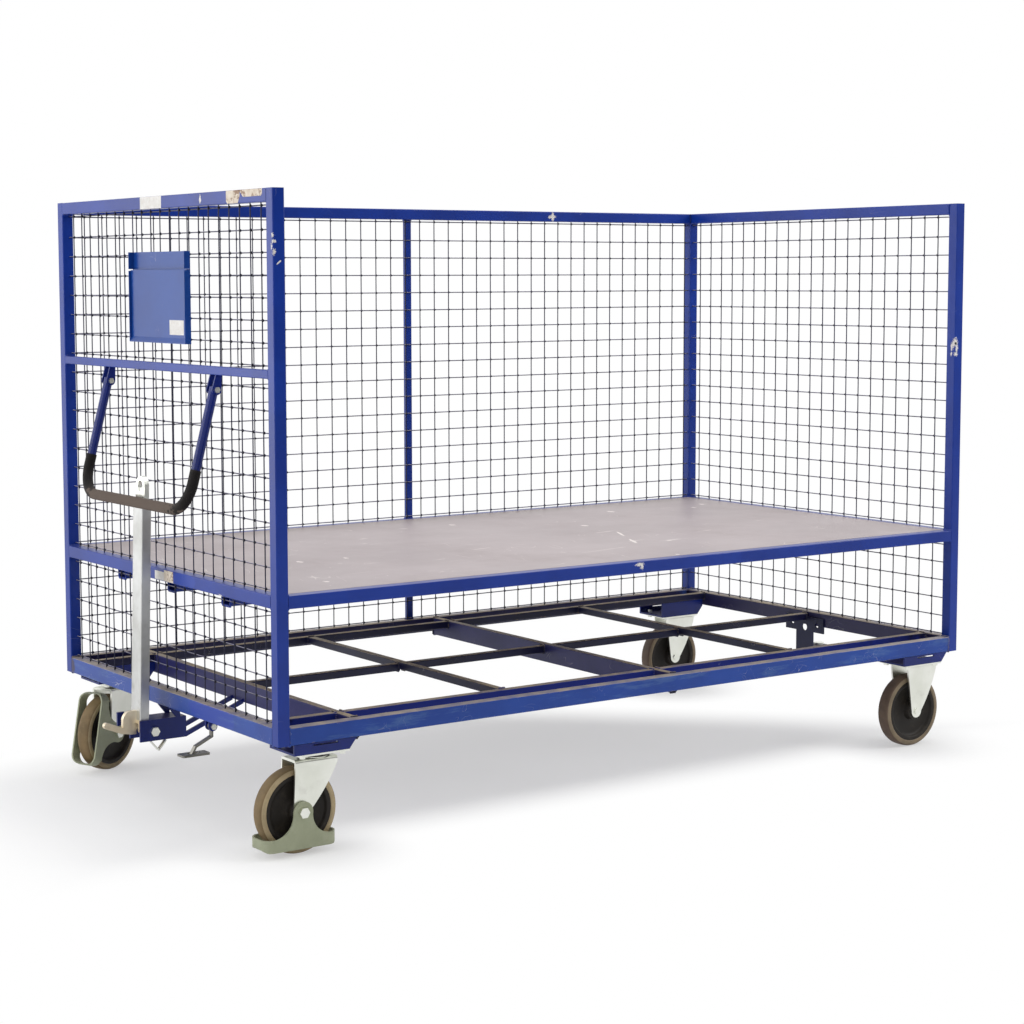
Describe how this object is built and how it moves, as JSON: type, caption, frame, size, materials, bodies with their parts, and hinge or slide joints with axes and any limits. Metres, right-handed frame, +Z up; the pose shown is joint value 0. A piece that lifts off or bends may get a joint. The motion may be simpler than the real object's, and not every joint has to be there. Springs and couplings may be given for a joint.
{
  "type": "shelf trolley",
  "caption": "Tow-along shelf trolley: blue tube frame with mesh on three sides, one board shelf, swivel and fixed castors, folding drawbar, push handle and rear hitch.",
  "frame": {"origin": "on the floor, under the middle of the whole part's length and width", "axes": "+Z up; -X towards the drawbar end, which is the front; -Y towards the open side"},
  "size_m": [2.3644, 1.145, 1.495],
  "materials": {
    "blue_paint": "glossy blue powder coat, chipped and worn along the base rails",
    "dark_blue_paint": "dark blue paint",
    "zinc": "bright zinc plate, slightly dulled",
    "board": "film-faced plywood, scratched",
    "mesh_wire": "dark painted welded wire",
    "grip": "soft black sleeve",
    "tyre": "brown solid rubber, dusty",
    "rim_plastic": "black moulded wheel centre",
    "guard_plastic": "grey-green moulded plastic"
  },
  "bodies": {
    "chassis": {"corner_post_front_left": "blue_paint", "corner_post_front_right": "blue_paint", "corner_post_rear_left": "blue_paint", "corner_post_rear_right": "blue_paint", "side_centre_post": "blue_paint", "top_end_rails": "blue_paint", "top_side_rail": "blue_paint", "handle_rail": "blue_paint", "base_side_rails": "blue_paint", "base_end_rails": "blue_paint", "base_tall_bars": "blue_paint", "base_long_rails": "blue_paint", "base_cross_bars": "blue_paint", "shelf_side_rails": "blue_paint", "shelf_end_rails": "blue_paint", "shelf_bearers": "blue_paint", "shelf_board": "board", "mesh_wall_side": "mesh_wire", "mesh_wall_front": "mesh_wire", "mesh_wall_rear": "mesh_wire", "document_holder": "blue_paint", "castor_brackets": "blue_paint", "castor_bolts": "zinc", "swivel_plates": "zinc", "ball_races": "zinc", "kingpins": "zinc", "fork_rear_left": "zinc", "fork_rear_right": "zinc", "axles_rear": "zinc", "drawbar_bracket": "blue_paint", "bracket_clip": "zinc", "handle_lugs": "blue_paint", "pedal_ears": "blue_paint", "hitch_bracket": "dark_blue_paint", "pivot_bolts": "zinc"},
    "drawbar": {"drawbar_tube": "zinc", "drawbar_foot": "zinc", "tow_eye": "zinc"},
    "handle": {"handle_tube": "blue_paint", "handle_grip": "grip"},
    "pedal": {"foot_pedal": "zinc"},
    "drop_pin": {"hitch_pin": "zinc"},
    "castor_front_left": {"fork_front_left": "zinc", "axle_front_left": "zinc"},
    "guard_front_left": {"foot_guard_front_left": "guard_plastic"},
    "castor_front_right": {"fork_front_right": "zinc", "axle_front_right": "zinc"},
    "guard_front_right": {"foot_guard_front_right": "guard_plastic"},
    "wheel_front_left": {"tyre_front_left": "tyre", "rim_front_left": "rim_plastic", "bearing_front_left": "zinc"},
    "wheel_front_right": {"tyre_front_right": "tyre", "rim_front_right": "rim_plastic", "bearing_front_right": "zinc"},
    "wheel_rear_left": {"tyre_rear_left": "tyre", "rim_rear_left": "rim_plastic", "bearing_rear_left": "zinc"},
    "wheel_rear_right": {"tyre_rear_right": "tyre", "rim_rear_right": "rim_plastic", "bearing_rear_right": "zinc"}
  },
  "joints": [
    {"name": "drawbar_fold", "type": "hinge", "parent": "chassis", "child": "drawbar", "pos_m": [-1.0625, 0, 0.207], "axis": [0, -1, 0], "range_deg": [0, 91.7]},
    {"name": "handle_swing", "type": "hinge", "parent": "chassis", "child": "handle", "pos_m": [-1.0205, 0, 1.044], "axis": [0, 1, 0], "range_deg": [0, 120]},
    {"name": "pedal_press", "type": "hinge", "parent": "chassis", "child": "pedal", "pos_m": [-1.0115, -0.23, 0.249], "axis": [0, -1, 0], "range_deg": [0, 15], "stiffness_Nm_per_rad": 20},
    {"name": "drop_pin_lift", "type": "slide", "parent": "chassis", "child": "drop_pin", "axis": [0, 0, 1], "range_m": [0, 0.025]},
    {"name": "swivel_front_left", "type": "hinge", "parent": "chassis", "child": "castor_front_left", "pos_m": [-0.9005, -0.51625, 0.213], "axis": [0, 0, 1], "continuous": true},
    {"name": "swivel_front_right", "type": "hinge", "parent": "chassis", "child": "castor_front_right", "pos_m": [-0.9005, 0.51625, 0.213], "axis": [0, 0, 1], "continuous": true},
    {"name": "spin_front_left", "type": "hinge", "parent": "castor_front_left", "child": "wheel_front_left", "pos_m": [-0.9505, -0.51625, 0.1], "axis": [0, 1, 0], "continuous": true},
    {"name": "spin_front_right", "type": "hinge", "parent": "castor_front_right", "child": "wheel_front_right", "pos_m": [-0.94581, 0.49512, 0.1], "axis": [-0.4226, 0.9063, 0], "continuous": true},
    {"name": "spin_rear_left", "type": "hinge", "parent": "chassis", "child": "wheel_rear_left", "pos_m": [1.0075, -0.51625, 0.1], "axis": [0, 1, 0], "continuous": true},
    {"name": "spin_rear_right", "type": "hinge", "parent": "chassis", "child": "wheel_rear_right", "pos_m": [1.0075, 0.51625, 0.1], "axis": [0, 1, 0], "continuous": true},
    {"name": "guard_front_left_tip", "type": "hinge", "parent": "castor_front_left", "child": "guard_front_left", "pos_m": [-0.9505, -0.51625, 0.1], "axis": [0, 1, 0], "range_deg": [-4, 103]},
    {"name": "guard_front_right_tip", "type": "hinge", "parent": "castor_front_right", "child": "guard_front_right", "pos_m": [-0.94581, 0.49512, 0.1], "axis": [-0.4226, 0.9063, 0], "range_deg": [-103, 4]}
  ]
}
